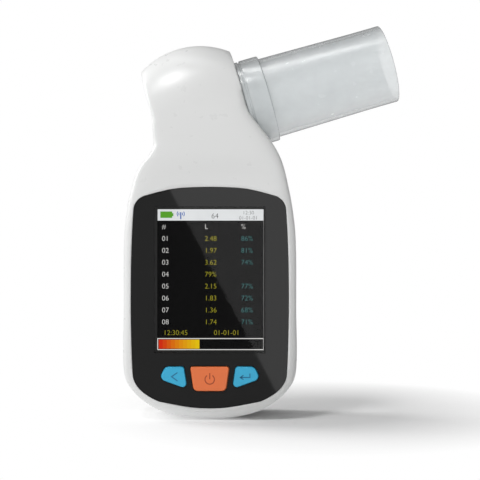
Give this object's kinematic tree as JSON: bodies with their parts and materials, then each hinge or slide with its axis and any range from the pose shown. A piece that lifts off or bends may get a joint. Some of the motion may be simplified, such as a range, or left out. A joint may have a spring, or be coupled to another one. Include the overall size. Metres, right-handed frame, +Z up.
{
  "type": "spirometer",
  "caption": "Handheld turbine spirometer: white moulded casing with a colour screen and keys, a tilted head, and a clear turbine housing and mouthpiece tube that pull out.",
  "frame": {"origin": "middle of the flat foot", "axes": "+Z up from the foot, -Y the way the screen faces, +X towards the mouthpiece"},
  "size_m": [0.1138, 0.041, 0.1622],
  "materials": {
    "white_shell": "smooth satin white moulding",
    "panel": "glossy black",
    "window": "clear lens",
    "screen": "lit display",
    "blue_key": "satin blue",
    "orange_key": "satin orange",
    "clear_plastic": "clear moulded plastic",
    "inner_plastic": "unpainted light grey",
    "turbine_plastic": "light plastic",
    "vane": "matte black",
    "bearing": "polished",
    "board": "green circuit board",
    "dark_part": "black moulding",
    "lens": "dark red lens",
    "cell": "silver pouch",
    "foam": "black foam",
    "seal": "black rubber",
    "steel": "bright steel"
  },
  "bodies": {
    "casing": {"front_shell": "white_shell", "rear_shell": "white_shell", "front_panel": "panel", "display_window": "window", "display_module": "screen", "display_tray": "inner_plastic", "main_board": "board", "key_switches": "dark_part", "radio_module": "steel", "buzzer": "dark_part", "charging_socket": "steel", "battery_pad": "foam", "battery": "cell", "case_screws": "steel", "board_screws": "steel", "flow_sleeve": "inner_plastic", "source_board": "board", "light_sources": "lens", "receiver_board": "board", "light_receivers": "lens"},
    "flow_module": {"flow_housing": "clear_plastic", "seal_ring": "seal", "inlet_swirler": "turbine_plastic", "outlet_swirler": "turbine_plastic", "rotor_bearings": "bearing"},
    "mouth_tube": {"mouthpiece": "clear_plastic"},
    "rotor": {"rotor_vane": "vane", "rotor_shaft": "steel"},
    "left_key": {"key_left": "blue_key"},
    "power_key": {"key_power": "orange_key"},
    "right_key": {"key_right": "blue_key"}
  },
  "joints": [
    {"name": "left_key_press", "type": "slide", "parent": "casing", "child": "left_key", "axis": [0, 1, 0], "range_m": [0, 0.0006], "stiffness_N_per_m": 800},
    {"name": "power_key_press", "type": "slide", "parent": "casing", "child": "power_key", "axis": [0, 1, 0], "range_m": [0, 0.0006], "stiffness_N_per_m": 800},
    {"name": "right_key_press", "type": "slide", "parent": "casing", "child": "right_key", "axis": [0, 1, 0], "range_m": [0, 0.0006], "stiffness_N_per_m": 800},
    {"name": "flow_module_pull", "type": "slide", "parent": "casing", "child": "flow_module", "axis": [0.9608, 0, 0.2773], "range_m": [0, 0.045]},
    {"name": "mouth_tube_pull", "type": "slide", "parent": "flow_module", "child": "mouth_tube", "axis": [0.9608, 0, 0.2773], "range_m": [0, 0.03]},
    {"name": "rotor_spin", "type": "hinge", "parent": "flow_module", "child": "rotor", "pos_m": [0, 0, 0.1254], "axis": [0.9608, 0, 0.2773], "continuous": true}
  ]
}
